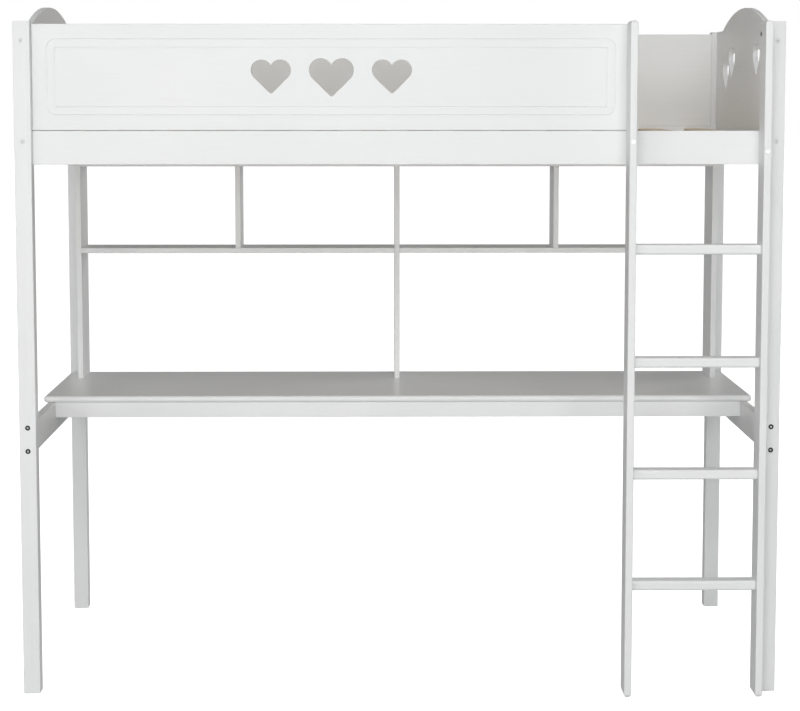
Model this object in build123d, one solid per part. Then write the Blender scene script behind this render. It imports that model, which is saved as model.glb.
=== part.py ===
"""High loft bed with a desk, a shelf unit standing on the desk, and a ladder fixed at the right-hand end.

Millimetres. +X runs along the bed towards the ladder end, +Y from the front to the back, +Z up.
The origin is on the floor under the centre of the whole object, ladder included.
"""

import os
from math import acos, atan2, cos, dist, hypot, sin, sqrt

from build123d import *

# Frame
length = 2060.0
depth = 994.0
post = 45.0
post_height = 1828.0
ladder_reach = 60.0

# Bed
board = 22.0
rail_bottom = 1446.0
rail_height = 90.0
guard_gap = 1.0
guard_height = 284.0
end_thickness = 15.0
end_inset = 15.5
arch_rise = 55.0
arch_half_width = 345.0
arch_blend = 60.0
slat_count = 14
slat_width = 70.0
slat_thickness = 18.0
slat_pitch = 144.0
slat_below_rail_top = 8.0
slat_end_gap = 2.0
cleat_width = 20.0
cleat_height = 36.0
cleat_end_gap = 20.0

# Hearts and the routed border
heart_lobe_radius = 31.0
heart_lobe_offset = 28.7
heart_tip_drop = 59.5
heart_tip_radius = 9.0
heart_shoulder = 0.35
small_heart = 0.89
guard_heart_spacing = 162.0
guard_heart_above_middle = 19.0
end_hearts = ((-222.0, 1749.0), (177.0, 1746.0), (279.0, 1711.0))
border_inset = 41.0
border_radius = 24.0
border_band = 22.0
groove_width = 3.0
groove_depth = 2.0

# Desk
desk_top_height = 762.0
desk_thickness = 19.0
desk_front_set_back = 409.0
desk_corner = 12.0
desk_rail_height = 83.0
apron_height = 44.0
apron_set_back = 8.0
desk_back_rail_set_in = 22.0

# Shelf unit
shelf_board = 16.0
shelf_depth = 150.0
shelf_back_gap = 2.0
shelf_unit_top = 1431.0
shelf_level = 1149.0
short_divider_offset = 488.5
housing_depth = 3.0

# Ladder
stile_thickness = 20.0
stile_depth = 83.0
ladder_clear_width = 337.0
rung_pitch = 305.0
rung_count = 4
rung_height = 27.0
rung_depth = 48.0
rung_set_back = 22.0

# Fasteners
head_radius = 7.0
head_thickness = 3.0
head_clearance = 0.1
cap_thickness = 1.5
cap_round = 0.6
shank_radius = 3.0
shank_clearance = 0.5
socket_size = 5.0
socket_floor = 0.6
bolt_grip = 42.0
bolt_end_room = 3.0
end_bolt_rise = 62.0
end_bolt_drop = 52.0
desk_bolt_drops = (72.0, 8.0)
rail_bolt_rise = 20.0
rail_bolt_drop = 14.0
guard_bolt_inset = 60.0
nut_radius = 5.0
nut_length = 11.0
nut_from_end = 30.0
nut_end_room = 0.5
dowel_radius = 4.0
rung_dowel_length = 26.0
divider_dowel_length = 20.0
divider_dowel_drop = 4.0
foot_dowel_length = 26.0
board_dowel_length = 46.0
desk_dowel_length = 34.0
desk_dowel_drops = (22.0, 60.0)
shelf_dowel_inset = 45.0
screw_radius = 2.5
screw_head_radius = 5.0
screw_head_thickness = 3.0
screw_cross_width = 1.0
screw_cross_depth = 1.2
rung_screw_length = 60.0
rung_screw_share = 0.65
rung_dowel_share = 0.25
ladder_screw_rises = (63.0, 37.0)
ladder_screw_length = 100.0
guard_screw_length = 55.0
slat_screw_length = 30.0
cleat_screw_length = 36.0
shelf_screw_length = 50.0
shelf_screw_inset = 35.0
desk_screw_spacing = 500.0
desk_screw_grip = 12.0
side_bolt_head = 2.0
side_bolt_head_radius = 6.5
side_bolt_length = 50.0
side_bolt_inset = 10.0
side_bolt_drop = 27.0
side_bolt_clearance = 0.2
fit_gap = 0.05

# Edges
post_round = 2.5
board_round = 1.5
shelf_round = 1.5
rung_round = 6.0
stile_round = 3.0
stile_end_round = 11.0
stile_corner_round = 9.5
slat_round = 2.0
desk_round = 9.0

# Places worked out from the driving dimensions
half = length / 2
inner = half - post
front = -(depth + ladder_reach) / 2 + ladder_reach
back = front + depth
rail_top = rail_bottom + rail_height
guard_bottom = rail_top + guard_gap
guard_top = guard_bottom + guard_height
slat_top = rail_top - slat_below_rail_top
cleat_top = slat_top - slat_thickness
front_board_face = front + post - board
end_centre = inner + end_inset + end_thickness / 2
desk_underside = desk_top_height - desk_thickness
desk_front = front + desk_front_set_back
desk_back = back - post
desk_rail_centre = inner + post / 2
desk_rail_inner = desk_rail_centre - board / 2
apron_front = desk_front + apron_set_back
desk_back_rail_back = desk_back - desk_back_rail_set_in
shelf_back = desk_back - shelf_back_gap
shelf_front = shelf_back - shelf_depth
side_inner = inner - shelf_board
right_stile_left = inner - stile_thickness
left_stile_right = right_stile_left - ladder_clear_width
left_stile_left = left_stile_right - stile_thickness
guard_end = left_stile_left + stile_thickness / 2
stile_front = front - ladder_reach
stile_back = stile_front + stile_depth
rung_front = stile_front + rung_set_back
desk_levels = [desk_underside - drop for drop in desk_bolt_drops]
end_levels = (rail_bottom + end_bolt_rise, post_height - end_bolt_drop)
rail_levels = (rail_bottom + rail_bolt_rise, rail_top - rail_bolt_drop)
guard_levels = (guard_bottom + guard_bolt_inset, guard_top - guard_bolt_inset)
rung_heights = [rung_pitch * (step + 1) for step in range(rung_count)]
slat_places = [slat_pitch * (place - (slat_count - 1) / 2) for place in range(slat_count)]

bores = []


def span(x, y, z, radius):
    """A rectangular piece from its lowest to its highest X, Y and Z, with all edges rounded."""
    block = Box(x[1] - x[0], y[1] - y[0], z[1] - z[0])
    block = fillet(block.edges(), radius)
    return Pos((x[0] + x[1]) / 2, (y[0] + y[1]) / 2, (z[0] + z[1]) / 2) * block


def rod(start, direction, reach, radius):
    """A plain round bar or bore that leaves start along direction."""
    place = Plane(origin=start, z_dir=direction)
    return place * (Pos(0, 0, reach / 2) * Cylinder(radius, reach))


def along(point, direction, distance):
    return tuple(p + d * distance for p, d in zip(point, direction))


def touches(first, second):
    """True where two bounding boxes share some space."""
    return all(
        low < other_high and other_low < high
        for low, high, other_low, other_high in zip(first.min, first.max, second.min, second.max)
    )


def drilled(piece):
    """The piece with every bore that reaches into it."""
    box = piece.bounding_box()
    for bore in bores:
        if touches(box, bore.bounding_box()):
            piece = piece - bore
    return piece


# Hearts


def heart_face(scale):
    """Two round lobes and straight sides that run tangent from the lobes to a rounded tip."""
    lobe = heart_lobe_radius * scale
    offset = heart_lobe_offset * scale
    drop = heart_tip_drop * scale
    tip = heart_tip_radius * scale
    notch = sqrt(lobe**2 - offset**2)
    side = atan2(drop, offset) - acos((tip - lobe) / hypot(offset, drop))
    outer = (cos(side), sin(side))
    lobe_end = (offset + lobe * outer[0], lobe * outer[1])
    tip_end = (tip * outer[0], tip * outer[1] - drop)
    lobe_top = (offset + lobe * sin(heart_shoulder), lobe * cos(heart_shoulder))
    half_outline = [ThreePointArc((0, notch), lobe_top, lobe_end), Line(lobe_end, tip_end)]
    bottom = ThreePointArc(tip_end, (0, -drop - tip), (-tip_end[0], tip_end[1]))
    outline = half_outline + [bottom] + [mirror(edge, Plane.YZ) for edge in half_outline]
    return make_face(Curve() + outline)


def heart_cutter(scale, reach):
    """A heart-shaped bar, centred on the origin, that runs along its own Z."""
    return extrude(heart_face(scale), amount=reach / 2, both=True)


# Frame


def corner_post(side, at_front):
    x = (inner, half) if side > 0 else (-half, -inner)
    y = (front, front + post) if at_front else (back - post, back)
    return drilled(span(x, y, (0, post_height), post_round))


def long_board(at_front, x, z):
    """A rail or guard panel that lies flush with the inner faces of the posts."""
    y = (front_board_face, front + post) if at_front else (back - post, back - post + board)
    return span(x, y, z, board_round)


def bed_rail(at_front):
    return drilled(long_board(at_front, (-inner, inner), (rail_bottom, rail_top)))


def border_groove(inset, radius, panel_width):
    """A shallow groove that runs round a panel at one distance from its edge."""
    wide = panel_width - 2 * inset
    high = guard_height - 2 * inset
    if radius:
        outside = RectangleRounded(wide + groove_width, high + groove_width, radius + groove_width / 2)
        inside = RectangleRounded(wide - groove_width, high - groove_width, radius - groove_width / 2)
    else:
        outside = Rectangle(wide + groove_width, high + groove_width)
        inside = Rectangle(wide - groove_width, high - groove_width)
    return extrude(outside - inside, amount=groove_depth, both=True)


def guard_front():
    """The front guard: three hearts in a double routed border."""
    panel = long_board(True, (-inner, guard_end), (guard_bottom, guard_top))
    width = guard_end + inner
    middle = Plane(
        origin=((guard_end - inner) / 2, front_board_face, (guard_bottom + guard_top) / 2),
        x_dir=(1, 0, 0),
        z_dir=(0, -1, 0),
    )
    panel -= middle * border_groove(border_inset, border_radius, width)
    panel -= middle * border_groove(border_inset + border_band, 0, width)
    for place, scale in ((-1, small_heart), (0, 1.0), (1, small_heart)):
        shift = Pos(place * guard_heart_spacing, guard_heart_above_middle, 0)
        panel -= middle * (shift * heart_cutter(scale, 4 * board))
    return drilled(panel)


def guard_back():
    """The back guard, which stands directly on the back rail."""
    return drilled(long_board(False, (-inner, inner), (rail_top, guard_top)))


def end_panel(side):
    """An end board whose top rises in one arc, with hearts towards the front and the back."""
    wide = (depth - 2 * post) / 2
    top = post_height - rail_bottom
    arch_start, arch_end = (arch_half_width, top), (-arch_half_width, top)
    sides = Polyline(arch_end, (-wide, top), (-wide, 0), (wide, 0), (wide, top), arch_start)
    face = make_face(Curve() + [sides, ThreePointArc(arch_start, (0, top + arch_rise), arch_end)])
    feet = [v for v in face.vertices() if abs(abs(v.X) - arch_half_width) < 1]
    face = fillet(feet, arch_blend)
    panel = extrude(face, amount=end_thickness / 2, both=True)
    rims = [edge for edge in panel.edges() if abs(abs(edge.center().Z) - end_thickness / 2) < 0.01]
    panel = fillet(rims, board_round)
    for across, height in end_hearts:
        panel -= Pos(across, height - rail_bottom, 0) * heart_cutter(small_heart, 2 * end_thickness)
    foot = (side * end_centre, (front + back) / 2, rail_bottom)
    return drilled(Plane(origin=foot, x_dir=(0, 1, 0), z_dir=(1, 0, 0)) * panel)


# Bed base


def slat_cleat(at_front):
    y = (front + post, front + post + cleat_width) if at_front else (back - post - cleat_width, back - post)
    reach = inner - cleat_end_gap
    return drilled(span((-reach, reach), y, (cleat_top - cleat_height, cleat_top), slat_round))


def slat(place):
    x = (place - slat_width / 2, place + slat_width / 2)
    y = (front + post + slat_end_gap, back - post - slat_end_gap)
    return drilled(span(x, y, (cleat_top, slat_top), slat_round))


# Desk


def desk_top():
    """The work top, with a round nose on its front and ends and a square back edge."""
    outline = Rectangle(length, desk_back - desk_front)
    outline = fillet(outline.vertices().sort_by(Axis.Y)[:2], desk_corner)
    top = extrude(outline, amount=desk_thickness)
    back_edge = (desk_back - desk_front) / 2
    noses = [edge for edge in top.edges() if edge.center().Y < back_edge - 1 and edge.length > 0.1]
    noses = [edge for edge in noses if abs(edge.center().Z - desk_thickness / 2) > 1]
    top = Pos(0, (desk_front + desk_back) / 2, desk_underside) * fillet(noses, desk_round)
    side_middle = side_inner + shelf_board / 2
    return drilled(housed(top, (-side_middle, 0, side_middle), desk_top_height))


def desk_rail(side):
    x = sorted((side * desk_rail_inner, side * (desk_rail_inner + board)))
    z = (desk_underside - desk_rail_height, desk_underside)
    return drilled(span(x, (front + post, back - post), z, board_round))


def desk_apron():
    y = (apron_front, apron_front + board)
    z = (desk_underside - apron_height, desk_underside)
    return drilled(span((-desk_rail_inner, desk_rail_inner), y, z, board_round))


def desk_rail_back():
    y = (desk_back_rail_back - board, desk_back_rail_back)
    z = (desk_underside - desk_rail_height, desk_underside)
    return drilled(span((-desk_rail_inner, desk_rail_inner), y, z, board_round))


# Shelf unit


def housed(piece, uprights, level):
    """The piece with a shallow housing at each X in uprights, for the foot of a board standing on it."""
    for x in uprights:
        middle = (shelf_front + shelf_back) / 2
        piece -= Pos(x, middle, level) * Box(shelf_board, shelf_depth, 2 * housing_depth)
    return piece


def shelf_piece(x, z):
    return drilled(span(x, (shelf_front, shelf_back), z, shelf_round))


def shelf_side(side):
    x = sorted((side * side_inner, side * inner))
    return shelf_piece(x, (desk_top_height - housing_depth, shelf_unit_top))


def shelf_top():
    return shelf_piece((-side_inner, side_inner), (shelf_unit_top - shelf_board, shelf_unit_top))


def shelf_divider_centre():
    x = (-shelf_board / 2, shelf_board / 2)
    return shelf_piece(x, (desk_top_height - housing_depth, shelf_unit_top - shelf_board))


def shelf_board_half(side):
    x = sorted((side * shelf_board / 2, side * side_inner))
    shelf = shelf_piece(x, (shelf_level, shelf_level + shelf_board))
    return housed(shelf, [side * short_divider_offset], shelf_level + shelf_board)


def short_divider(side):
    middle = side * short_divider_offset
    x = (middle - shelf_board / 2, middle + shelf_board / 2)
    return shelf_piece(x, (shelf_level + shelf_board - housing_depth, shelf_unit_top - shelf_board))


# Ladder


def ladder_stile(left):
    """A full-height board whose ends are rounded both in side view and in front view."""
    profile = RectangleRounded(stile_depth, post_height, stile_end_round)
    stile = extrude(profile, amount=stile_thickness / 2, both=True)
    rims = [edge for edge in stile.edges() if abs(abs(edge.center().Z) - stile_thickness / 2) < 0.01]
    stile = fillet(rims, stile_round)
    end_shape = Rot(0, 90, 0) * extrude(
        RectangleRounded(stile_thickness, post_height, stile_corner_round), amount=stile_depth, both=True
    )
    stile = stile & end_shape
    centre = (left + stile_thickness / 2, (stile_front + stile_back) / 2, post_height / 2)
    return drilled(Plane(origin=centre, x_dir=(0, 1, 0), z_dir=(1, 0, 0)) * stile)


def ladder_rung(height):
    """A tread with large round edges along its length and square ends."""
    profile = RectangleRounded(rung_depth, rung_height, rung_round)
    rung = extrude(profile, amount=ladder_clear_width)
    start = (left_stile_right, rung_front + rung_depth / 2, height)
    return drilled(Plane(origin=start, x_dir=(0, 1, 0), z_dir=(1, 0, 0)) * rung)


# Fasteners


def frame_bolt(face_point, inward, sunk):
    """A flat-headed bolt with a hexagon socket, its head sunk below face_point, and the bore it needs."""
    outward = tuple(-part for part in inward)
    crown = along(face_point, inward, sunk)
    total = post + bolt_grip - sunk
    bolt = rod(crown, inward, head_thickness, head_radius) + rod(crown, inward, total, shank_radius)
    socket = extrude(RegularPolygon(socket_size / sqrt(3), 6), amount=head_thickness - socket_floor)
    bolt -= Plane(origin=crown, z_dir=inward) * socket
    head_bore = rod(
        along(face_point, outward, 1), inward, 1 + sunk + head_thickness, head_radius + head_clearance
    )
    shank_bore = rod(face_point, inward, post + bolt_grip + bolt_end_room, shank_radius + shank_clearance)
    bores.append(head_bore + shank_bore)
    return bolt


def bolt_cap(face_point, inward):
    """A round cover that fills the counterbore over a sunk bolt head."""
    cap = rod(face_point, inward, cap_thickness, head_radius)
    circles = cap.edges().filter_by(GeomType.CIRCLE)
    rim = circles.sort_by(lambda edge: (edge.center() - Vector(face_point)).length)[:1]
    return fillet(rim, cap_round)


def barrel_nut(bolt_point, bolt_inward, open_face, nut_axis):
    """A cross nut centred on the bolt that runs through it, let in from open_face along nut_axis."""
    distance = post + nut_from_end
    crossing = along(bolt_point, bolt_inward, distance)
    nut = rod(along(crossing, nut_axis, -nut_length / 2), nut_axis, nut_length, nut_radius)
    nut -= rod(bolt_point, bolt_inward, distance + 2 * nut_radius, shank_radius + head_clearance)
    face = open_face(crossing)
    reach = dist(face, crossing) + nut_length / 2 + nut_end_room
    bores.append(rod(along(face, nut_axis, -1), nut_axis, 1 + reach, nut_radius + head_clearance))
    return nut


def wood_screw(face_point, inward, reach):
    """A countersunk screw, flush with the face, and the bore that it fills."""
    head = along(face_point, inward, screw_head_thickness / 2)
    cone = Plane(origin=head, z_dir=inward) * Cone(screw_head_radius, screw_radius, screw_head_thickness)
    screw = cone + rod(face_point, inward, reach, screw_radius)
    cross = Box(screw_head_radius, screw_cross_width, 2 * screw_cross_depth)
    cross += Box(screw_cross_width, screw_head_radius, 2 * screw_cross_depth)
    screw -= Plane(origin=face_point, z_dir=inward) * cross
    wide = Plane(origin=head, z_dir=inward) * Cone(
        screw_head_radius + fit_gap, screw_radius + fit_gap, screw_head_thickness + fit_gap
    )
    bores.append(wide + rod(face_point, inward, reach + 1, screw_radius + fit_gap))
    return screw


def dowel(joint_point, direction, reach):
    """A wooden dowel centred on the joint between two pieces."""
    start = along(joint_point, direction, -reach / 2)
    bore_start = along(start, direction, -fit_gap)
    bores.append(rod(bore_start, direction, reach + 2 * fit_gap, dowel_radius + fit_gap))
    return rod(start, direction, reach, dowel_radius)


def post_faces():
    """Outer Y faces of the posts with the inward direction: front first, then back."""
    return ((front, (0, 1, 0)), (back, (0, -1, 0)))


def bolts_along_y(x_centre, heights, sunk, nut_faces):
    """Bolts through all four posts into boards that run from front to back, with their nuts."""
    bolts, nuts, caps = [], [], []
    for side in (-1, 1):
        for y, inward in post_faces():
            for height in heights:
                point = (side * x_centre, y, height)
                bolts.append(frame_bolt(point, inward, sunk))
                nuts.append(
                    barrel_nut(
                        point, inward, lambda p, s=side: (s * nut_faces, p[1], p[2]), (side, 0, 0)
                    )
                )
                if sunk:
                    caps.append(bolt_cap(point, inward))
    return bolts, nuts, caps


def bolts_along_x():
    """Bolts through the posts' outer sides into the ends of the bed rails and guards, with their nuts."""
    bolts, nuts, caps = [], [], []
    for side in (-1, 1):
        for at_front in (True, False):
            middle = front_board_face + board / 2 if at_front else back - post + board / 2
            nut_face = front + post if at_front else back - post + board
            has_guard = not (at_front and side > 0)
            for height in rail_levels + (guard_levels if has_guard else ()):
                point = (side * half, middle, height)
                inward = (-side, 0, 0)
                bolts.append(frame_bolt(point, inward, cap_thickness))
                nuts.append(
                    barrel_nut(point, inward, lambda p, f=nut_face: (p[0], f, p[2]), (0, -1, 0))
                )
                caps.append(bolt_cap(point, inward))
    return bolts, nuts, caps


def rung_fasteners():
    """One screw through each stile into each rung end, with a dowel beside it."""
    screws, dowels = [], []
    for height in rung_heights:
        screw_y = rung_front + rung_depth * rung_screw_share
        dowel_y = rung_front + rung_depth * rung_dowel_share
        screws.append(wood_screw((left_stile_left, screw_y, height), (1, 0, 0), rung_screw_length))
        screws.append(wood_screw((inner, screw_y, height), (-1, 0, 0), rung_screw_length))
        dowels.append(dowel((left_stile_right, dowel_y, height), (1, 0, 0), rung_dowel_length))
        dowels.append(dowel((right_stile_left, dowel_y, height), (1, 0, 0), rung_dowel_length))
    return screws, dowels


def ladder_screws():
    """Long screws through the stiles into the front bed rail."""
    screws = []
    for left, rise in zip((left_stile_left, right_stile_left), ladder_screw_rises):
        x = left + stile_thickness / 2
        face_point = (x, stile_front, rail_bottom + rise)
        screws.append(wood_screw(face_point, (0, 1, 0), ladder_screw_length))
    return screws


def guard_screws():
    """Two screws from behind that fix the free end of the front guard to the left stile."""
    x = left_stile_left + stile_thickness / 4
    return [wood_screw((x, front + post, z), (0, -1, 0), guard_screw_length) for z in guard_levels]


def stile_bolt():
    """The round-headed bolt that ties the right stile to its post near the top."""
    start = (right_stile_left - side_bolt_head, front + side_bolt_inset, guard_top - side_bolt_drop)
    bolt = rod(start, (1, 0, 0), side_bolt_head, side_bolt_head_radius)
    bolt += rod(start, (1, 0, 0), side_bolt_head + side_bolt_length, shank_radius)
    face = (right_stile_left, start[1], start[2])
    bores.append(rod(face, (1, 0, 0), side_bolt_length + 1, shank_radius + side_bolt_clearance))
    return bolt


def slat_screws():
    """A screw at each end of each slat, down into the cleat."""
    screws = []
    for place in slat_places:
        for y in (front + post + cleat_width / 2, back - post - cleat_width / 2):
            screws.append(wood_screw((place, y, slat_top), (0, 0, -1), slat_screw_length))
    return screws


def cleat_screws():
    """Screws from the inside of the bed, through each cleat into its rail, between the slats."""
    screws = []
    for place in range(-3, 4):
        x = place * 2 * slat_pitch
        z = cleat_top - cleat_height / 2
        screws.append(wood_screw((x, front + post + cleat_width, z), (0, -1, 0), cleat_screw_length))
        screws.append(wood_screw((x, back - post - cleat_width, z), (0, 1, 0), cleat_screw_length))
    return screws


def shelf_screws():
    """Screws through the sides and the top board into the boards that they hold."""
    screws = []
    for y in (shelf_front + shelf_screw_inset, shelf_back - shelf_screw_inset):
        for side in (-1, 1):
            for z in (shelf_level + shelf_board / 2, shelf_unit_top - shelf_board / 2):
                screws.append(wood_screw((side * inner, y, z), (-side, 0, 0), shelf_screw_length))
        for x in (-short_divider_offset, 0, short_divider_offset):
            screws.append(wood_screw((x, y, shelf_unit_top), (0, 0, -1), shelf_screw_length))
    return screws


def shelf_dowels():
    """Dowels between the shelf boards and dividers, and between the uprights and the desk."""
    dowels = []
    for y in (shelf_front + shelf_dowel_inset, shelf_back - shelf_dowel_inset):
        dowels.append(dowel((0, y, shelf_level + shelf_board / 2), (1, 0, 0), board_dowel_length))
        for side in (-1, 1):
            short = (side * short_divider_offset, y, shelf_level + shelf_board - divider_dowel_drop)
            dowels.append(dowel(short, (0, 0, 1), divider_dowel_length))
            foot = (side * (side_inner + shelf_board / 2), y, desk_top_height)
            dowels.append(dowel(foot, (0, 0, 1), foot_dowel_length))
        dowels.append(dowel((0, y, desk_top_height), (0, 0, 1), foot_dowel_length))
    return dowels


def desk_dowels():
    """Dowels that hold the apron and the back rail between the desk's side rails."""
    dowels = []
    for side in (-1, 1):
        for y, drops in (
            (apron_front + board / 2, desk_dowel_drops[:1]),
            (desk_back_rail_back - board / 2, desk_dowel_drops),
        ):
            for drop in drops:
                point = (side * (desk_rail_inner - 1), y, desk_underside - drop)
                dowels.append(dowel(point, (1, 0, 0), desk_dowel_length))
    return dowels


def desk_screws():
    """Screws up through the apron into the work top."""
    low = desk_underside - apron_height
    places = [desk_screw_spacing * place for place in (-1.5, -0.5, 0.5, 1.5)]
    return [
        wood_screw((x, apron_front + board / 2, low), (0, 0, 1), apron_height + desk_screw_grip)
        for x in places
    ]


# Fasteners come first, because each one adds the bore that the wooden pieces are drilled with
desk_bolts, desk_nuts, _ = bolts_along_y(desk_rail_centre, desk_levels, 0, desk_rail_inner)
end_bolts, end_nuts, end_caps = bolts_along_y(
    end_centre, end_levels, cap_thickness, end_centre - end_thickness / 2
)
bed_bolts, bed_nuts, bed_caps = bolts_along_x()
rung_screws, rung_dowels = rung_fasteners()

nodes = {
    "desk_frame_bolts": Compound(desk_bolts),
    "bed_frame_bolts": Compound(end_bolts + bed_bolts),
    "barrel_nuts": Compound(desk_nuts + end_nuts + bed_nuts),
    "bolt_caps": Compound(end_caps + bed_caps),
    "rung_screws": Compound(rung_screws),
    "rung_dowels": Compound(rung_dowels),
    "ladder_fixing_screws": Compound(ladder_screws()),
    "guard_screws": Compound(guard_screws()),
    "stile_to_post_bolt": stile_bolt(),
    "slat_screws": Compound(slat_screws()),
    "cleat_screws": Compound(cleat_screws()),
    "shelf_screws": Compound(shelf_screws()),
    "shelf_dowels": Compound(shelf_dowels()),
    "desk_dowels": Compound(desk_dowels()),
    "desk_top_screws": Compound(desk_screws()),
}

for name, side in (("left", -1), ("right", 1)):
    nodes[f"post_front_{name}"] = corner_post(side, True)
    nodes[f"post_back_{name}"] = corner_post(side, False)
    nodes[f"end_panel_{name}"] = end_panel(side)
    nodes[f"desk_rail_{name}"] = desk_rail(side)
    nodes[f"shelf_side_{name}"] = shelf_side(side)
    nodes[f"shelf_board_{name}"] = shelf_board_half(side)
    nodes[f"shelf_divider_{name}"] = short_divider(side)

nodes["bed_rail_front"] = bed_rail(True)
nodes["bed_rail_back"] = bed_rail(False)
nodes["guard_front"] = guard_front()
nodes["guard_back"] = guard_back()
nodes["slat_cleat_front"] = slat_cleat(True)
nodes["slat_cleat_back"] = slat_cleat(False)
nodes["desk_top"] = desk_top()
nodes["desk_apron"] = desk_apron()
nodes["desk_rail_back"] = desk_rail_back()
nodes["shelf_top"] = shelf_top()
nodes["shelf_divider_centre"] = shelf_divider_centre()
nodes["ladder_stile_left"] = ladder_stile(left_stile_left)
nodes["ladder_stile_right"] = ladder_stile(right_stile_left)

for number, height in enumerate(rung_heights, 1):
    nodes[f"ladder_rung_{number}"] = ladder_rung(height)

for number, place in enumerate(slat_places, 1):
    nodes[f"slat_{number:02d}"] = slat(place)

os.makedirs("parts", exist_ok=True)
for name, shape in nodes.items():
    export_step(shape, f"parts/{name}.step")
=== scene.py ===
"""Loft bed with desk, shelf unit and ladder: finishes, eased boards, light and camera round the frame.

Metres. +X runs towards the ladder end, +Y from the front to the back, +Z up, with the floor at zero.
"""

import math

import bmesh
import bpy
import numpy as np
from mathutils.geometry import tessellate_polygon
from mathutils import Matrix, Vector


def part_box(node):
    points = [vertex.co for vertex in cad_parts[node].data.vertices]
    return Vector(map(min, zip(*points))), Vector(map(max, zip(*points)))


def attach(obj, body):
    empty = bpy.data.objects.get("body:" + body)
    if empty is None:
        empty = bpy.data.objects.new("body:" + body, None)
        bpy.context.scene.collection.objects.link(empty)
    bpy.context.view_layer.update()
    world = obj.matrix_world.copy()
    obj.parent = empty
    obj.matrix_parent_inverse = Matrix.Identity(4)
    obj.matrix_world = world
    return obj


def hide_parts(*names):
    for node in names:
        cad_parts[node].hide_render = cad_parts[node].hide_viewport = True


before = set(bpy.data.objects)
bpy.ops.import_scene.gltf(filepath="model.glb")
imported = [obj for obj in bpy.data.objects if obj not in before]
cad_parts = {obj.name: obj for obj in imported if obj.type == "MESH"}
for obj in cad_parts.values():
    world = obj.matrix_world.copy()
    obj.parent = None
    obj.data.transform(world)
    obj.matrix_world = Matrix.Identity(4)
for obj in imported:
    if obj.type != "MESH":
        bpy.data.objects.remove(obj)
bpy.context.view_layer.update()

# Hearts, as they are sawn: lobe radius, lobe offset from the middle, drop to the tip's centre, tip radius
HEART_LOBE = 0.031
HEART_OFFSET = 0.0287
HEART_DROP = 0.0595
HEART_TIP = 0.009
SMALL_HEART = 0.89
GUARD_HEARTS = ((-0.162, SMALL_HEART), (0.0, 1.0), (0.162, SMALL_HEART))
GUARD_HEART_RISE = 0.019
END_HEARTS = ((-0.222, 1.749), (0.177, 1.746), (0.279, 1.711))
HEART_EASE = 0.0014

# Routed border of the front guard
BORDER_INSET = 0.041
BORDER_RADIUS = 0.024
BORDER_BAND = 0.022
GROOVE_WIDTH = 0.0040
GROOVE_DEPTH = 0.0020

# End panels
ARCH_RISE = 0.055
ARCH_HALF = 0.345
ARCH_BLEND = 0.060
POST_TOP = 1.828
EDGE_EASE = 0.0015

# Slats
SLAT_COUNT = 14
SLAT_EASE = 0.002
SLAT_CROWN = 0.0005

# Bolts: the heads' rise is their dome, and the flat underside lies below it
HEAD_RADIUS = 0.0069
HEAD_RISE = 0.0012
STILE_HEAD_RADIUS = 0.0064
STILE_HEAD_RISE = 0.0016
HEAD_THICKNESS = 0.003
SOCKET_ACROSS = 0.0052
SOCKET_FLOOR = 0.0013
SHANK_RADIUS = 0.003

# Caps over the sunk bolts
CAP_RADIUS = 0.0063
CAP_DEPTH = 0.00145
CAP_DOME = 0.0006
CAP_DIMPLE = 0.0012


# Outlines, each an array of points (across, up), closed without repeating the first point


def ring_normals(loop):
    """Unit mitre directions to the left of travel; their length keeps a parallel offset true at a corner."""
    ahead = np.roll(loop, -1, axis=0) - loop
    ahead /= np.linalg.norm(ahead, axis=1, keepdims=True)
    behind = np.roll(ahead, 1, axis=0)
    left_ahead = np.stack([-ahead[:, 1], ahead[:, 0]], 1)
    left_behind = np.stack([-behind[:, 1], behind[:, 0]], 1)
    total = left_ahead + left_behind
    return total / np.maximum((total * left_ahead).sum(1, keepdims=True), 0.25)


def heart(middle, height, scale, lobe_steps=30, tip_steps=6):
    """A heart run clockwise: an arc round each lobe, sides tangent to it, and an arc round the tip."""
    lobe, offset, drop, tip = (v * scale for v in (HEART_LOBE, HEART_OFFSET, HEART_DROP, HEART_TIP))
    notch = math.sqrt(lobe**2 - offset**2)
    side = math.atan2(drop, offset) - math.acos((tip - lobe) / math.hypot(offset, drop))
    turn = np.linspace(math.atan2(notch, -offset), side, lobe_steps)
    bottom = np.linspace(side, -math.pi / 2, tip_steps)
    right = np.concatenate(
        [
            np.stack([offset + lobe * np.cos(turn), lobe * np.sin(turn)], 1),
            np.stack([tip * np.cos(bottom), tip * np.sin(bottom) - drop], 1),
        ]
    )
    left = right[-2:0:-1] * (-1, 1)
    return np.concatenate([right, left]) + (middle, height)


def rounded_rectangle(wide, high, radius, middle=(0.0, 0.0), steps=8):
    """A rectangle run anticlockwise: a quarter circle at each corner, or square corners at no radius."""
    corners = np.array([(1, -1), (1, 1), (-1, 1), (-1, -1)])
    if radius == 0:
        return corners * (wide / 2, high / 2) + middle
    start = np.array([-0.5, 0.0, 0.5, 1.0]) * math.pi
    turn = start[:, None] + np.linspace(0, math.pi / 2, steps)[None, :]
    centres = corners * (wide / 2 - radius, high / 2 - radius)
    points = centres[:, None, :] + radius * np.stack([np.cos(turn), np.sin(turn)], 2)
    return points.reshape(-1, 2) + middle


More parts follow.
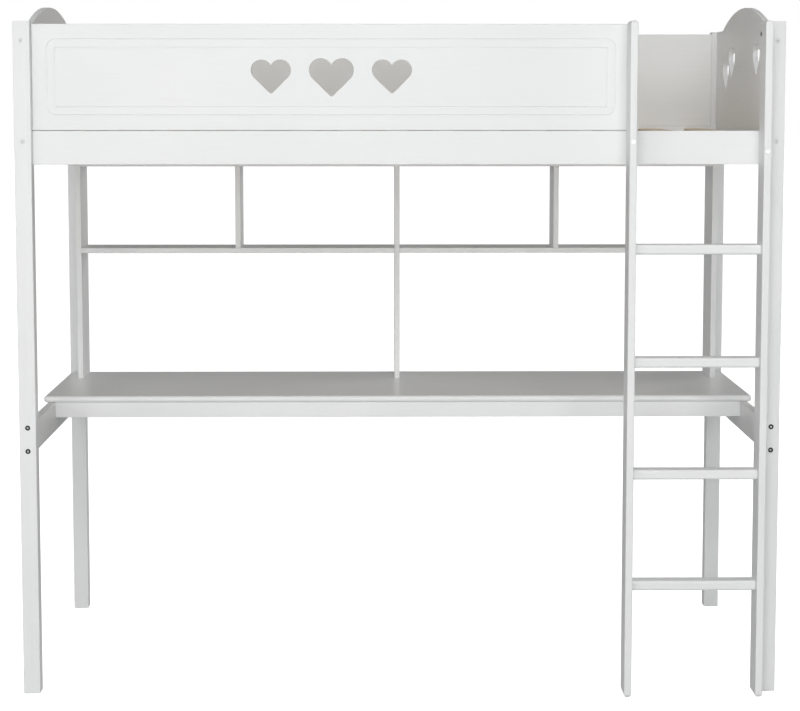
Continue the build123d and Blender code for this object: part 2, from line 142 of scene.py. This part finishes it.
def arched_outline(half, low, shoulder, arch_steps=40, blend_steps=9):
    """An end panel's outline, run anticlockwise: foot and sides, level shoulders, one arc over the middle.

    The arc passes through both arch ends and its peak. A smaller arc, tangent to the shoulder line and to the
    big arc, blends the two.
    """
    big = (ARCH_HALF**2 + ARCH_RISE**2) / (2 * ARCH_RISE)
    centre = shoulder + ARCH_RISE - big
    blend_up = shoulder + ARCH_BLEND
    blend_out = math.sqrt((big + ARCH_BLEND) ** 2 - (blend_up - centre) ** 2)
    meet = math.atan2(blend_up - centre, blend_out)
    small = np.linspace(-math.pi / 2, meet - math.pi, blend_steps)
    right = np.stack([blend_out + ARCH_BLEND * np.cos(small), blend_up + ARCH_BLEND * np.sin(small)], 1)
    over = np.linspace(meet, math.pi - meet, arch_steps)[1:-1]
    top = np.stack([big * np.cos(over), centre + big * np.sin(over)], 1)
    left = right[::-1] * (-1, 1)
    foot = np.array([(-half, shoulder), (-half, low), (half, low), (half, shoulder)])
    return np.concatenate([right, top, left, foot])


# Solids


def ease_levels(thickness, ease, steps=5):
    """(inset, height) pairs of an edge profile: a quarter round, a straight wall, and a quarter round."""
    turn = np.linspace(0, math.pi / 2, steps)
    inset, rise = ease * (1 - np.sin(turn)), ease * (1 - np.cos(turn))
    low = np.stack([inset, rise], 1)
    high = np.stack([inset[::-1], thickness - rise[::-1]], 1)
    return np.concatenate([low, high])


def carried(loop, levels):
    """An edge profile carried along an outline: each level is the outline moved left along its mitres."""
    flat = loop[None] + ring_normals(loop)[None] * levels[:, 0, None, None]
    height = np.broadcast_to(levels[:, 1, None, None], flat.shape[:2] + (1,))
    return np.concatenate([flat, height], 2)


def belt_faces(levels, count):
    """Quads between neighbouring levels of a closed belt."""
    row, column = np.meshgrid(np.arange(levels - 1), np.arange(count), indexing="ij")
    low, high, after = row * count, (row + 1) * count, (column + 1) % count
    return np.stack([low + column, low + after, high + after, high + column], 2).reshape(-1, 4)


def level_fill(loops, height):
    """Triangles over the area between one outer loop and the holes in it, at one height."""
    points = np.concatenate(loops)
    rings = [[(x, y, 0.0) for x, y in loop] for loop in loops]
    faces = np.array(tessellate_polygon(rings))
    return np.concatenate([points, np.full((len(points), 1), height)], 1), faces


def heart_level(loop, middle):
    """A heart's offset loop, kept from crossing itself where the two lobes meet at the notch."""
    across = loop[:, 0] - middle
    count = len(loop)
    right = np.arange(count) <= count // 2
    crossed = np.where(right, across < 0, across > 0)
    crossed[0] = False
    loop = loop.copy()
    loop[crossed] = loop[0]
    return loop


def without_repeats(loop):
    """The loop without points that lie on the one before."""
    return loop[np.linalg.norm(loop - np.roll(loop, 1, axis=0), axis=1) > 1e-7]


class Solid:
    """Collects belts and flat areas in a panel's own plane, then welds them into one closed mesh in place."""

    def __init__(self):
        self.points, self.faces, self.smooth, self.total = [], [], [], 0

    def add(self, points, faces, smooth):
        self.points.append(points.reshape(-1, 3))
        self.faces += [tuple(face) for face in (faces + self.total).tolist()]
        self.smooth += [smooth] * len(faces)
        self.total += len(self.points[-1])

    def belt(self, stack):
        self.add(stack, belt_faces(stack.shape[0], stack.shape[1]), True)

    def level(self, loops, height):
        self.add(*level_fill([without_repeats(loop) for loop in loops], height), False)

    def finish(self, name, to_place, finish, slot, *nodes):
        points = to_place(np.concatenate(self.points))
        mesh = bpy.data.meshes.new(name)
        mesh.from_pydata(points.tolist(), [], self.faces)
        mesh.polygons.foreach_set("use_smooth", self.smooth)
        fitted(name, mesh, finish, slot, *nodes)


def fitted(name, mesh, finish, slot, *nodes):
    """Welds and orients a mesh, gives it its finish, and puts it in place of the named CAD nodes."""
    work = bmesh.new()
    work.from_mesh(mesh)
    bmesh.ops.remove_doubles(work, verts=work.verts, dist=2e-6)
    bmesh.ops.dissolve_degenerate(work, edges=work.edges, dist=1e-6)
    bmesh.ops.recalc_face_normals(work, faces=work.faces)
    work.to_mesh(mesh)
    work.free()
    piece = bpy.data.objects.new(name, mesh)
    bpy.context.scene.collection.objects.link(piece)
    for one in finish if isinstance(finish, (list, tuple)) else (finish,):
        mesh.materials.append(one)
    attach(piece, "root")
    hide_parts(*nodes)


# Node building


def sheet_of_nodes(name):
    """A new material, its node tree and its main shader."""
    material = bpy.data.materials.new(name)
    material.use_nodes = True
    tree = material.node_tree
    shader = tree.nodes["Principled BSDF"]
    return material, tree, shader


def node(tree, kind, inputs=None, **settings):
    """A node with its settings, its unlinked values and its links; a link is given as an output socket."""
    made = tree.nodes.new(kind)
    for key, value in settings.items():
        setattr(made, key, value)
    for key, value in (inputs or {}).items():
        if isinstance(value, bpy.types.NodeSocket):
            tree.links.new(value, made.inputs[key])
        else:
            made.inputs[key].default_value = value
    return made


def stretched(tree, scale, shift=(0.0, 0.0, 0.0)):
    """Object coordinates with one scale for each axis, so that a pattern can run along the grain."""
    place = node(tree, "ShaderNodeTexCoord").outputs["Object"]
    inputs = {"Vector": place, "Scale": scale, "Location": shift}
    return node(tree, "ShaderNodeMapping", inputs).outputs["Vector"]


def speckle(tree, vector, scale, detail=3.0, rough=0.5, distortion=0.0):
    """Fractal noise between 0 and 1."""
    inputs = {"Vector": vector, "Scale": scale, "Detail": detail, "Roughness": rough}
    return node(tree, "ShaderNodeTexNoise", {**inputs, "Distortion": distortion}).outputs["Fac"]


def ranged(tree, value, low, high, to_low, to_high):
    """A value carried from one range to another, and kept inside it."""
    inputs = {"Value": value, "From Min": low, "From Max": high, "To Min": to_low, "To Max": to_high}
    return node(tree, "ShaderNodeMapRange", inputs).outputs["Result"]


def blended(tree, factor, first, second):
    """A colour mix; first and second are colours or output sockets."""
    mix = node(tree, "ShaderNodeMix", data_type="RGBA")
    for socket, value in ((0, factor), (6, first), (7, second)):
        if isinstance(value, bpy.types.NodeSocket):
            tree.links.new(value, mix.inputs[socket])
        else:
            mix.inputs[socket].default_value = value
    return mix.outputs[2]


def bumped(tree, shader, height, strength, distance, after=None):
    """Relief on the shader's normal, laid over any relief given as after."""
    inputs = {"Height": height, "Strength": strength, "Distance": distance}
    if after is not None:
        inputs["Normal"] = after
    made = node(tree, "ShaderNodeBump", inputs).outputs["Normal"]
    tree.links.new(made, shader.inputs["Normal"])
    return made


GRAIN = {"x": (1.2, 60.0, 60.0), "y": (60.0, 1.2, 60.0), "z": (60.0, 60.0, 1.2)}


def white_lacquer(name, axis, shift):
    """Satin white lacquer over pine: the grain shows as fine lines and shallow pores along the piece."""
    material, tree, shader = sheet_of_nodes(name)
    grain = speckle(tree, stretched(tree, GRAIN[axis], shift=shift), 6.0, 5.0, 0.62, 0.25)
    broad = speckle(tree, stretched(tree, (1.0, 1.0, 1.0), shift=shift), 2.3, 2.0)
    peel = speckle(tree, stretched(tree, (1.0, 1.0, 1.0)), 620.0, 2.0)
    clouds = ranged(tree, broad, 0.3, 0.7, 0.0, 1.0)
    tone = blended(tree, clouds, (0.800, 0.812, 0.812, 1), (0.835, 0.842, 0.838, 1))
    lines = ranged(tree, grain, 0.52, 0.74, 0.0, 0.5)
    tree.links.new(blended(tree, lines, tone, (0.765, 0.772, 0.762, 1)), shader.inputs["Base Color"])
    tree.links.new(ranged(tree, grain, 0.3, 0.75, 0.34, 0.47), shader.inputs["Roughness"])
    first = bumped(tree, shader, grain, 0.35, 0.0006)
    bumped(tree, shader, peel, 0.12, 0.0003, first)
    shader.inputs["Specular IOR Level"].default_value = 0.42
    return material


def board_lacquer(name):
    """Semi-gloss lacquer sprayed on smooth board: fine orange peel, and faint clouds in colour and gloss."""
    material, tree, shader = sheet_of_nodes(name)
    cloud = speckle(tree, stretched(tree, (1.0, 1.6, 1.0)), 3.1, 3.0)
    peel = speckle(tree, stretched(tree, (1.0, 1.0, 1.0)), 480.0, 2.0)
    rubbed = speckle(tree, stretched(tree, (2.0, 40.0, 40.0)), 9.0, 4.0, 0.6)
    clouds = ranged(tree, cloud, 0.3, 0.7, 0.0, 1.0)
    tone = blended(tree, clouds, (0.790, 0.798, 0.800, 1), (0.822, 0.828, 0.826, 1))
    tree.links.new(tone, shader.inputs["Base Color"])
    tree.links.new(ranged(tree, rubbed, 0.3, 0.7, 0.27, 0.36), shader.inputs["Roughness"])
    first = bumped(tree, shader, peel, 0.14, 0.0003)
    bumped(tree, shader, rubbed, 0.06, 0.0003, first)
    shader.inputs["Specular IOR Level"].default_value = 0.48
    return material


def natural_pine():
    """Planed pine: pale early wood and browner late wood in long lines, scattered knots, a matt surface."""
    material, tree, shader = sheet_of_nodes("natural_pine")
    place = stretched(tree, (14.0, 0.9, 14.0), shift=(0.37, 0.0, 0.11))
    sway = speckle(tree, place, 1.4, 2.0)
    inputs = {"Vector": place, "Scale": 1.6, "Distortion": 5.5, "Detail": 2.0, "Detail Scale": 1.2}
    rings = node(tree, "ShaderNodeTexWave", inputs, wave_type="RINGS", rings_direction="Y").outputs["Fac"]
    fibre = speckle(tree, stretched(tree, (260.0, 5.0, 260.0)), 3.0, 4.0, 0.6)
    knot_place = stretched(tree, (1.0, 0.55, 1.0), shift=(0.03, 0.02, 0.0))
    inputs = {"Vector": knot_place, "Scale": 5.0, "Randomness": 1.0}
    knot = node(tree, "ShaderNodeTexVoronoi", inputs, feature="F1").outputs["Distance"]
    knots = ranged(tree, knot, 0.035, 0.075, 1.0, 0.0)
    late_wood = ranged(tree, rings, 0.15, 0.9, 0.0, 1.0)
    tone = blended(tree, late_wood, (0.66, 0.52, 0.35, 1), (0.50, 0.36, 0.21, 1))
    tone = blended(tree, ranged(tree, sway, 0.3, 0.7, 0.0, 0.35), tone, (0.72, 0.60, 0.44, 1))
    tone = blended(tree, ranged(tree, fibre, 0.4, 0.75, 0.0, 0.3), tone, (0.44, 0.31, 0.18, 1))
    tone = blended(tree, knots, tone, (0.25, 0.12, 0.05, 1))
    tree.links.new(tone, shader.inputs["Base Color"])
    tree.links.new(ranged(tree, rings, 0.0, 1.0, 0.62, 0.48), shader.inputs["Roughness"])
    first = bumped(tree, shader, fibre, 0.3, 0.0005)
    bumped(tree, shader, rings, 0.15, 0.0006, first)
    return material


def beech():
    """Turned beech: an even pinkish tan with short dark flecks along the dowel."""
    material, tree, shader = sheet_of_nodes("beech")
    fleck = speckle(tree, stretched(tree, (40.0, 300.0, 300.0)), 4.0, 3.0)
    flecks = ranged(tree, fleck, 0.45, 0.7, 0.0, 1.0)
    tone = blended(tree, flecks, (0.66, 0.46, 0.29, 1), (0.47, 0.29, 0.16, 1))
    tree.links.new(tone, shader.inputs["Base Color"])
    tree.links.new(ranged(tree, fleck, 0.3, 0.7, 0.5, 0.65), shader.inputs["Roughness"])
    bumped(tree, shader, fleck, 0.2, 0.0003)
    return material


def metal(name, dark, light, rough, metallic):
    """A plated or blackened steel with fine tumbling marks in its colour, gloss and relief."""
    material, tree, shader = sheet_of_nodes(name)
    marks = speckle(tree, stretched(tree, (1.0, 1.0, 1.0)), 900.0, 4.0, 0.6)
    blotch = speckle(tree, stretched(tree, (1.0, 1.0, 1.0)), 160.0, 2.0)
    tone = blended(tree, ranged(tree, blotch, 0.3, 0.7, 0.0, 1.0), dark, light)
    tree.links.new(tone, shader.inputs["Base Color"])
    tree.links.new(ranged(tree, marks, 0.3, 0.7, rough - 0.07, rough + 0.09), shader.inputs["Roughness"])
    bumped(tree, shader, marks, 0.12, 0.0001)
    shader.inputs["Metallic"].default_value = metallic
    return material


def moulded_plastic():
    """White moulded caps with a spark-eroded texture, a shade cooler than the lacquer round them."""
    material, tree, shader = sheet_of_nodes("cap_plastic")
    spark = speckle(tree, stretched(tree, (1.0, 1.0, 1.0)), 1500.0, 2.0)
    cloud = speckle(tree, stretched(tree, (1.0, 1.0, 1.0)), 120.0, 2.0)
    clouds = ranged(tree, cloud, 0.3, 0.7, 0.0, 1.0)
    tone = blended(tree, clouds, (0.700, 0.715, 0.720, 1), (0.745, 0.755, 0.755, 1))
    tree.links.new(tone, shader.inputs["Base Color"])
    tree.links.new(ranged(tree, spark, 0.3, 0.7, 0.38, 0.52), shader.inputs["Roughness"])
    bumped(tree, shader, spark, 0.2, 0.0001)
    return material


LACQUER = {
    "x": white_lacquer("lacquer_lengthwise", "x", (0.0, 0.31, 0.17)),
    "y": white_lacquer("lacquer_crosswise", "y", (0.23, 0.0, 0.41)),
    "z": white_lacquer("lacquer_upright", "z", (0.12, 0.27, 0.0)),
}
DESK_LACQUER = board_lacquer("desk_lacquer")
PINE = natural_pine()
BEECH = beech()
BLACK_STEEL = metal("black_steel", (0.012, 0.012, 0.013, 1), (0.030, 0.030, 0.032, 1), 0.42, 0.55)
BRIGHT_STEEL = metal("zinc_steel", (0.56, 0.57, 0.58, 1), (0.70, 0.71, 0.72, 1), 0.33, 0.95)
CAP = moulded_plastic()
# Light grey steel for the black bolts' socket walls and floor: a painted highlight standing for the glint in
# their domed heads
SOCKET_PAINTED_HIGHLIGHT = metal("socket_painted_highlight", (0.50, 0.51, 0.52, 1), (0.66, 0.67, 0.68, 1), 0.40, 0.25)

FINISHES = (
    (("post_", "ladder_stile", "shelf_side", "shelf_divider"), LACQUER["z"]),
    (("bed_rail", "guard_", "desk_apron", "desk_rail_back", "ladder_rung"), LACQUER["x"]),
    (("end_panel", "desk_rail_"), LACQUER["y"]),
    (("desk_top_screws", "slat_screws", "cleat_screws", "shelf_screws", "rung_screws"), BRIGHT_STEEL),
    (("ladder_fixing", "guard_screws", "bed_frame_bolts", "barrel_nuts"), BRIGHT_STEEL),
    (("desk_frame_bolts", "stile_to_post_bolt"), BLACK_STEEL),
    (("desk_top", "shelf_board", "shelf_top"), DESK_LACQUER),
    (("slat_",), PINE),
    (("bolt_caps",), CAP),
    (("rung_dowels", "shelf_dowels", "desk_dowels"), BEECH),
)


def finish_of(name):
    """The finish whose longest matching prefix fits the node's name."""
    pairs = [(start, finish) for starts, finish in FINISHES for start in starts]
    return max((pair for pair in pairs if name.startswith(pair[0])), key=lambda pair: len(pair[0]))[1]


for name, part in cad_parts.items():
    for place in part.material_slots:
        place.material = finish_of(name)


# Boards with hearts


def heart_cuts(solid, hearts, thick):
    """Adds the wall of each heart cut-out to a board, and returns the hearts' rims on both faces."""
    fronts, backs = [], []
    for across, height, scale in hearts:
        stack = carried(heart(across, height, scale), ease_levels(thick, HEART_EASE))
        stack[..., :2] = np.stack([heart_level(level, across) for level in stack[..., :2]])
        solid.belt(stack)
        backs.append(stack[0, :, :2])
        fronts.append(stack[-1, :, :2])
    return fronts, backs


def guard_panel():
    """The front guard: eased edges, a rounded groove on each border line, three hearts with eased rims.

    The groove's depth is the cosine across its width, raised to the power of one and a half.
    """
    low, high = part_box("guard_front")
    wide, tall, thick = high.x - low.x, high.z - low.z, high.y - low.y
    middle = ((low.x + high.x) / 2, (low.z + high.z) / 2)
    solid = Solid()
    outline = rounded_rectangle(wide, tall, EDGE_EASE / 2, middle, steps=4)
    edge = carried(outline, ease_levels(thick, EDGE_EASE))
    solid.belt(edge)

    across = np.linspace(-1, 1, 9)
    depth = GROOVE_DEPTH * np.cos(across * math.pi / 2) ** 1.5
    cut = np.stack([across * GROOVE_WIDTH / 2, thick - depth], 1)
    borders = []
    for inset, radius in ((BORDER_INSET, BORDER_RADIUS), (BORDER_INSET + BORDER_BAND, 0.0)):
        line = rounded_rectangle(wide - 2 * inset, tall - 2 * inset, radius, middle, steps=12)
        groove = carried(line, cut)
        solid.belt(groove)
        borders.append(groove[..., :2])

    rise = middle[1] + GUARD_HEART_RISE
    hearts = [(middle[0] + shift, rise, scale) for shift, scale in GUARD_HEARTS]
    fronts, backs = heart_cuts(solid, hearts, thick)
    solid.level([edge[-1, :, :2], borders[0][0]], thick)
    solid.level([borders[0][-1], borders[1][0]], thick)
    solid.level([borders[1][-1]] + fronts, thick)
    solid.level([edge[0, :, :2]] + backs, 0.0)

    def to_place(points):
        return np.stack([points[:, 0], high.y - points[:, 2], points[:, 1]], 1)

    solid.finish("guard_panel_front", to_place, LACQUER["x"], "white_lacquer", "guard_front")


def end_board(side):
    """An arched end panel with eased edges and three eased hearts."""
    node_name = f"end_panel_{side}"
    low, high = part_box(node_name)
    half, thick, middle = (high.y - low.y) / 2, high.x - low.x, (low.y + high.y) / 2
    solid = Solid()
    edge = carried(arched_outline(half, low.z, POST_TOP), ease_levels(thick, EDGE_EASE))
    solid.belt(edge)
    hearts = [(across, height, SMALL_HEART) for across, height in END_HEARTS]
    fronts, backs = heart_cuts(solid, hearts, thick)
    solid.level([edge[0, :, :2]] + backs, 0.0)
    solid.level([edge[-1, :, :2]] + fronts, thick)

    def to_place(points):
        return np.stack([low.x + points[:, 2], middle + points[:, 0], points[:, 1]], 1)

    solid.finish(f"end_board_{side}", to_place, LACQUER["y"], "white_lacquer", node_name)


# Slats


def slat_board(number):
    """A planed slat: a section with eased corners and a crowned face, carried from front to back.

    The face falls with the square of the distance from its middle.
    """
    node_name = f"slat_{number:02d}"
    low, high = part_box(node_name)
    wide, thick, reach = high.x - low.x, high.z - low.z, high.y - low.y
    middle = ((low.x + high.x) / 2, (low.z + high.z) / 2)
    steps = 5
    section = rounded_rectangle(wide, thick, SLAT_EASE, middle, steps)
    right, left = section[2 * steps - 1], section[2 * steps]
    crowned = right + (left - right) * np.linspace(0, 1, 9)[1:-1, None]
    section = np.concatenate([section[: 2 * steps], crowned, section[2 * steps :]])
    offset = (section[:, 0] - middle[0]) / (wide / 2)
    upper = section[:, 1] > high.z - SLAT_EASE
    section[:, 1] -= np.where(upper, SLAT_CROWN * offset**2, 0.0)
    solid = Solid()
    stack = carried(section, ease_levels(reach, SLAT_EASE / 2, 4))
    solid.belt(stack)
    solid.level([stack[0, :, :2]], 0.0)
    solid.level([stack[-1, :, :2]], reach)

    def to_place(points):
        return np.stack([points[:, 0], low.y + points[:, 2], points[:, 1]], 1)

    solid.finish(f"slat_board_{number:02d}", to_place, PINE, "natural_pine", node_name)


# Bolts


def loose_boxes(name):
    """Lowest and highest corners of each separate solid in a CAD node.

    Every point starts with its own label, and the least label spreads along edges until none changes.
    """
    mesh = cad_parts[name].data
    points = np.empty(len(mesh.vertices) * 3)
    mesh.vertices.foreach_get("co", points)
    ends = np.empty(len(mesh.edges) * 2, dtype=np.int32)
    mesh.edges.foreach_get("vertices", ends)
    points, same = np.unique(np.round(points.reshape(-1, 3), 6), axis=0, return_inverse=True)
    ends = same.ravel()[ends].reshape(-1, 2)
    label, before = np.arange(len(points)), None
    while before is None or (label != before).any():
        before = label.copy()
        least = label[ends].min(1)
        np.minimum.at(label, ends[:, 0], least)
        np.minimum.at(label, ends[:, 1], least)
    return [(points[label == one].min(0), points[label == one].max(0)) for one in np.unique(label)]


def crown_of(low, high, axis):
    """The middle of a fastener's outer end, the direction out of the bed there, and its length."""
    crown = (low + high) / 2
    outward = np.zeros(3)
    outward[axis] = math.copysign(1.0, crown[axis])
    crown[axis] = high[axis] if outward[axis] > 0 else low[axis]
    return crown, outward, high[axis] - low[axis]


def turned(rows, crown, outward, sides):
    """Circles round the outward axis, one for each (radii, level) row, joined and closed by flat ends."""
    turn = np.arange(sides) * 2 * math.pi / sides
    radii = np.stack([row[0] for row in rows])
    levels = np.array([row[1] for row in rows])
    axis = np.array(outward, float)
    first = np.cross(axis, (0.0, 0.0, 1.0))
    second = np.cross(axis, first)
    spokes = np.cos(turn)[:, None] * first + np.sin(turn)[:, None] * second
    points = np.array(crown) + radii[..., None] * spokes[None] + levels[:, None, None] * axis
    ends = np.arange(len(rows) * sides).reshape(-1, sides)[[0, -1]]
    return points.reshape(-1, 3), belt_faces(len(rows), sides).tolist() + ends.tolist()


def bolt_rows(head_rise, reach, head_radius, sides=36):
    """A domed bolt with a hexagon socket: shank end, shank, underside, dome, socket wall and socket floor.

    Rows inside the socket follow the hexagon, apothem over the cosine of the angle to the nearest flat.
    """
    turn = np.arange(sides) * 2 * math.pi / sides
    flat = (turn + math.pi / 6) % (math.pi / 3) - math.pi / 6
    hexagon = SOCKET_ACROSS / 2 / np.cos(flat)
    ring = np.ones(sides)
    under = -HEAD_THICKNESS - head_rise * 0.2
    dome_radius = np.linspace(head_radius, SOCKET_ACROSS * 0.62, 6)
    dome_level = -head_rise * (dome_radius / head_radius) ** 2
    rim = dome_level[-1]
    return (
        [
            (ring * SHANK_RADIUS * 0.7, -reach),
            (ring * SHANK_RADIUS, -reach + 0.001),
            (ring * SHANK_RADIUS, under),
            (ring * head_radius * 0.97, under),
            (ring * head_radius, under + 0.0004),
            (ring * head_radius, -head_rise - 0.0003),
        ]
        + [(ring * radius, level) for radius, level in zip(dome_radius, dome_level)]
        + [
            (hexagon * 1.04, rim - 0.0001),
            (hexagon, rim - 0.0003),
            (hexagon, -SOCKET_FLOOR),
            (hexagon * 0.45, -SOCKET_FLOOR - 0.0001),
        ]
    )


def cap_rows(sides=32):
    """A domed cap with a small dimple in its middle; the dome falls with the square of the radius. The
    dimple's wall and floor are black, as painted shade for a deep hole.
    """
    ring = np.ones(sides)
    dome_radius = np.linspace(CAP_RADIUS, CAP_DIMPLE * 1.2, 6)
    dome_level = -CAP_DOME * (dome_radius / CAP_RADIUS) ** 2
    return (
        [
            (ring * CAP_RADIUS * 0.97, -CAP_DEPTH),
            (ring * CAP_RADIUS, -CAP_DEPTH + 0.0002),
            (ring * CAP_RADIUS, -CAP_DOME - 0.0002),
        ]
        + [(ring * radius, level) for radius, level in zip(dome_radius, dome_level)]
        + [
            (ring * CAP_DIMPLE, -0.0001),
            (ring * CAP_DIMPLE * 0.9, -0.0011),
            (ring * CAP_DIMPLE * 0.4, -0.0012),
        ]
    )


def turned_set(name, fasteners, inner_rows, finishes, slot, replaced):
    """Several turned fasteners as one piece; the last inner_rows rows of each take the second finish."""
    points, faces, second, total = [], [], [], 0
    for rows, crown, outward in fasteners:
        sides = len(rows[0][0])
        made, found = turned(rows, crown, outward, sides)
        points.append(made)
        faces += [[index + total for index in face] for face in found]
        second += [int(min(face) >= (len(rows) - inner_rows) * sides) for face in found]
        total += len(made)
    mesh = bpy.data.meshes.new(name)
    mesh.from_pydata(np.concatenate(points).tolist(), [], faces)
    mesh.polygons.foreach_set("use_smooth", [len(face) == 4 for face in faces])
    mesh.polygons.foreach_set("material_index", second)
    fitted(name, mesh, finishes, slot, replaced)


def desk_bolts():
    """The eight bolts that hold the desk's side rails between the posts."""
    bolts = []
    for low, high in loose_boxes("desk_frame_bolts"):
        crown, outward, reach = crown_of(low, high, 1)
        bolts.append((bolt_rows(HEAD_RISE, reach, HEAD_RADIUS), crown, outward))
    # The sockets' walls and floor take the light grey steel, a painted highlight
    turned_set("desk_bolt_heads", bolts, 3, (BLACK_STEEL, SOCKET_PAINTED_HIGHLIGHT), "black_bolts", "desk_frame_bolts")


def stile_bolt():
    """The button-headed bolt through the right stile's inner side."""
    low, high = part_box("stile_to_post_bolt")
    crown = (low.x, (low.y + high.y) / 2, (low.z + high.z) / 2)
    bolt = (bolt_rows(STILE_HEAD_RISE, high.x - low.x, STILE_HEAD_RADIUS), crown, (-1, 0, 0))
    # The socket's walls and floor take the light grey steel, a painted highlight
    turned_set("stile_bolt_head", [bolt], 1, (BLACK_STEEL, SOCKET_PAINTED_HIGHLIGHT), "black_bolts", "stile_to_post_bolt")


def post_caps():
    """Caps over the sunk bolts: those on the posts' front and back faces, and those on their outer sides."""
    caps = []
    for low, high in loose_boxes("bolt_caps"):
        crown, outward, _ = crown_of(low, high, int(np.argmin(high - low)))
        caps.append((cap_rows(), crown, outward))
    # The dimple's wall and floor take black steel: painted shade standing for a deep hole
    turned_set("post_caps", caps, 3, (CAP, BLACK_STEEL), "cap_plastic", "bolt_caps")


guard_panel()
for side in ("left", "right"):
    end_board(side)
for number in range(1, SLAT_COUNT + 1):
    slat_board(number)
desk_bolts()
stile_bolt()
post_caps()


# Studio


def studio_floor():
    """A wide pale floor. Its glow is for the eye alone: it meets the backdrop unseen and lends no light."""
    mesh = bpy.data.meshes.new("studio_floor")
    ends = np.array([(-1, -1), (1, -1), (1, 1), (-1, 1)]) * FLOOR_REACH
    mesh.from_pydata([(x, y, -FLOOR_DROP) for x, y in ends.tolist()], [], [(0, 1, 2, 3)])
    material, tree, shader = sheet_of_nodes("studio_floor")
    shader.inputs["Base Color"].default_value = (FLOOR_TONE, FLOOR_TONE, FLOOR_TONE, 1)
    shader.inputs["Roughness"].default_value = 0.9
    shader.inputs["Specular IOR Level"].default_value = 0.0
    shader.inputs["Emission Color"].default_value = (1, 1, 1, 1)
    seen = node(tree, "ShaderNodeLightPath").outputs["Is Camera Ray"]
    tree.links.new(ranged(tree, seen, 0.0, 1.0, 0.0, FLOOR_GLOW), shader.inputs["Emission Strength"])
    mesh.materials.append(material)
    floor = bpy.data.objects.new("studio_floor", mesh)
    bpy.context.scene.collection.objects.link(floor)


def softbox(name, place, aim, wide, high, power):
    """A rectangular light that faces aim and isn't itself seen."""
    light = bpy.data.lights.new(name, "AREA")
    light.shape, light.size, light.size_y, light.energy = "RECTANGLE", wide, high, power
    box = bpy.data.objects.new(name, light)
    bpy.context.scene.collection.objects.link(box)
    box.location = place
    towards = np.array(aim) - np.array(place)
    yaw = math.atan2(towards[1], towards[0])
    pitch = math.atan2(towards[2], math.hypot(towards[0], towards[1]))
    box.rotation_euler = (math.pi / 2 + pitch, 0.0, yaw - math.pi / 2)
    box.visible_camera = False


def backdrop(ambient):
    """White all round to the eye, and a softer even fill as light."""
    world = bpy.data.worlds.new("studio")
    world.use_nodes = True
    tree = world.node_tree
    fill = tree.nodes["Background"]
    fill.inputs["Color"].default_value = (1, 1, 1, 1)
    fill.inputs["Strength"].default_value = ambient
    white = node(tree, "ShaderNodeBackground", {"Color": (1, 1, 1, 1), "Strength": 1.0})
    seen = node(tree, "ShaderNodeLightPath").outputs["Is Camera Ray"]
    mix = node(tree, "ShaderNodeMixShader", {0: seen, 1: fill.outputs[0], 2: white.outputs[0]})
    tree.links.new(mix.outputs[0], tree.nodes["World Output"].inputs["Surface"])
    bpy.context.scene.world = world


FLOOR_REACH = 60.0
FLOOR_DROP = 0.0004
FLOOR_TONE = 0.60
FLOOR_GLOW = 1.0
AMBIENT = 0.140

# Lights: name, place, the point that it faces, width, height, power
SOFTBOXES = (
    ("front_light", (0.0, -9.0, 2.6), (0.0, 0.0, 1.2), 6.0, 2.4, 122.0),
    ("front_low_light", (0.0, -9.0, 0.55), (0.0, 0.0, 0.8), 6.0, 1.1, 120.0),
    ("front_left_light", (-6.0, -6.5, 1.6), (0.0, 0.0, 1.0), 4.0, 2.6, 97.0),
    ("front_right_light", (6.0, -6.5, 1.6), (0.0, 0.0, 1.0), 4.0, 2.6, 24.0),
    ("front_high_light", (0.0, -6.5, 5.2), (0.0, 0.0, 0.9), 6.0, 3.0, 184.0),
    ("top_light", (0.0, -0.5, 6.0), (0.0, 0.0, 1.0), 4.0, 4.0, 56.0),
    ("left_light", (-6.6, 3.6, 1.8), (0.0, 0.0, 1.0), 4.0, 3.0, 75.0),
    ("right_light", (6.6, 3.6, 1.8), (0.0, 0.0, 1.0), 4.0, 3.0, 206.0),
    ("rear_light", (0.0, 7.5, 2.0), (0.0, 0.0, 1.0), 5.0, 3.0, 6.5),
)

studio_floor()
backdrop(AMBIENT)
for box in SOFTBOXES:
    softbox(*box)

camera = bpy.data.objects.new("camera", bpy.data.cameras.new("camera"))
bpy.context.scene.collection.objects.link(camera)
camera.location = (-0.064, -6.000, 1.626)
camera.rotation_euler = (math.radians(84.5), 0.0, math.radians(-0.66))
camera.data.sensor_width = 36.0
camera.data.lens = 92.87
camera.data.shift_y = -0.0745
camera.data.clip_end = 200.0
bpy.context.scene.camera = camera
bpy.context.scene.view_settings.view_transform = "Standard"
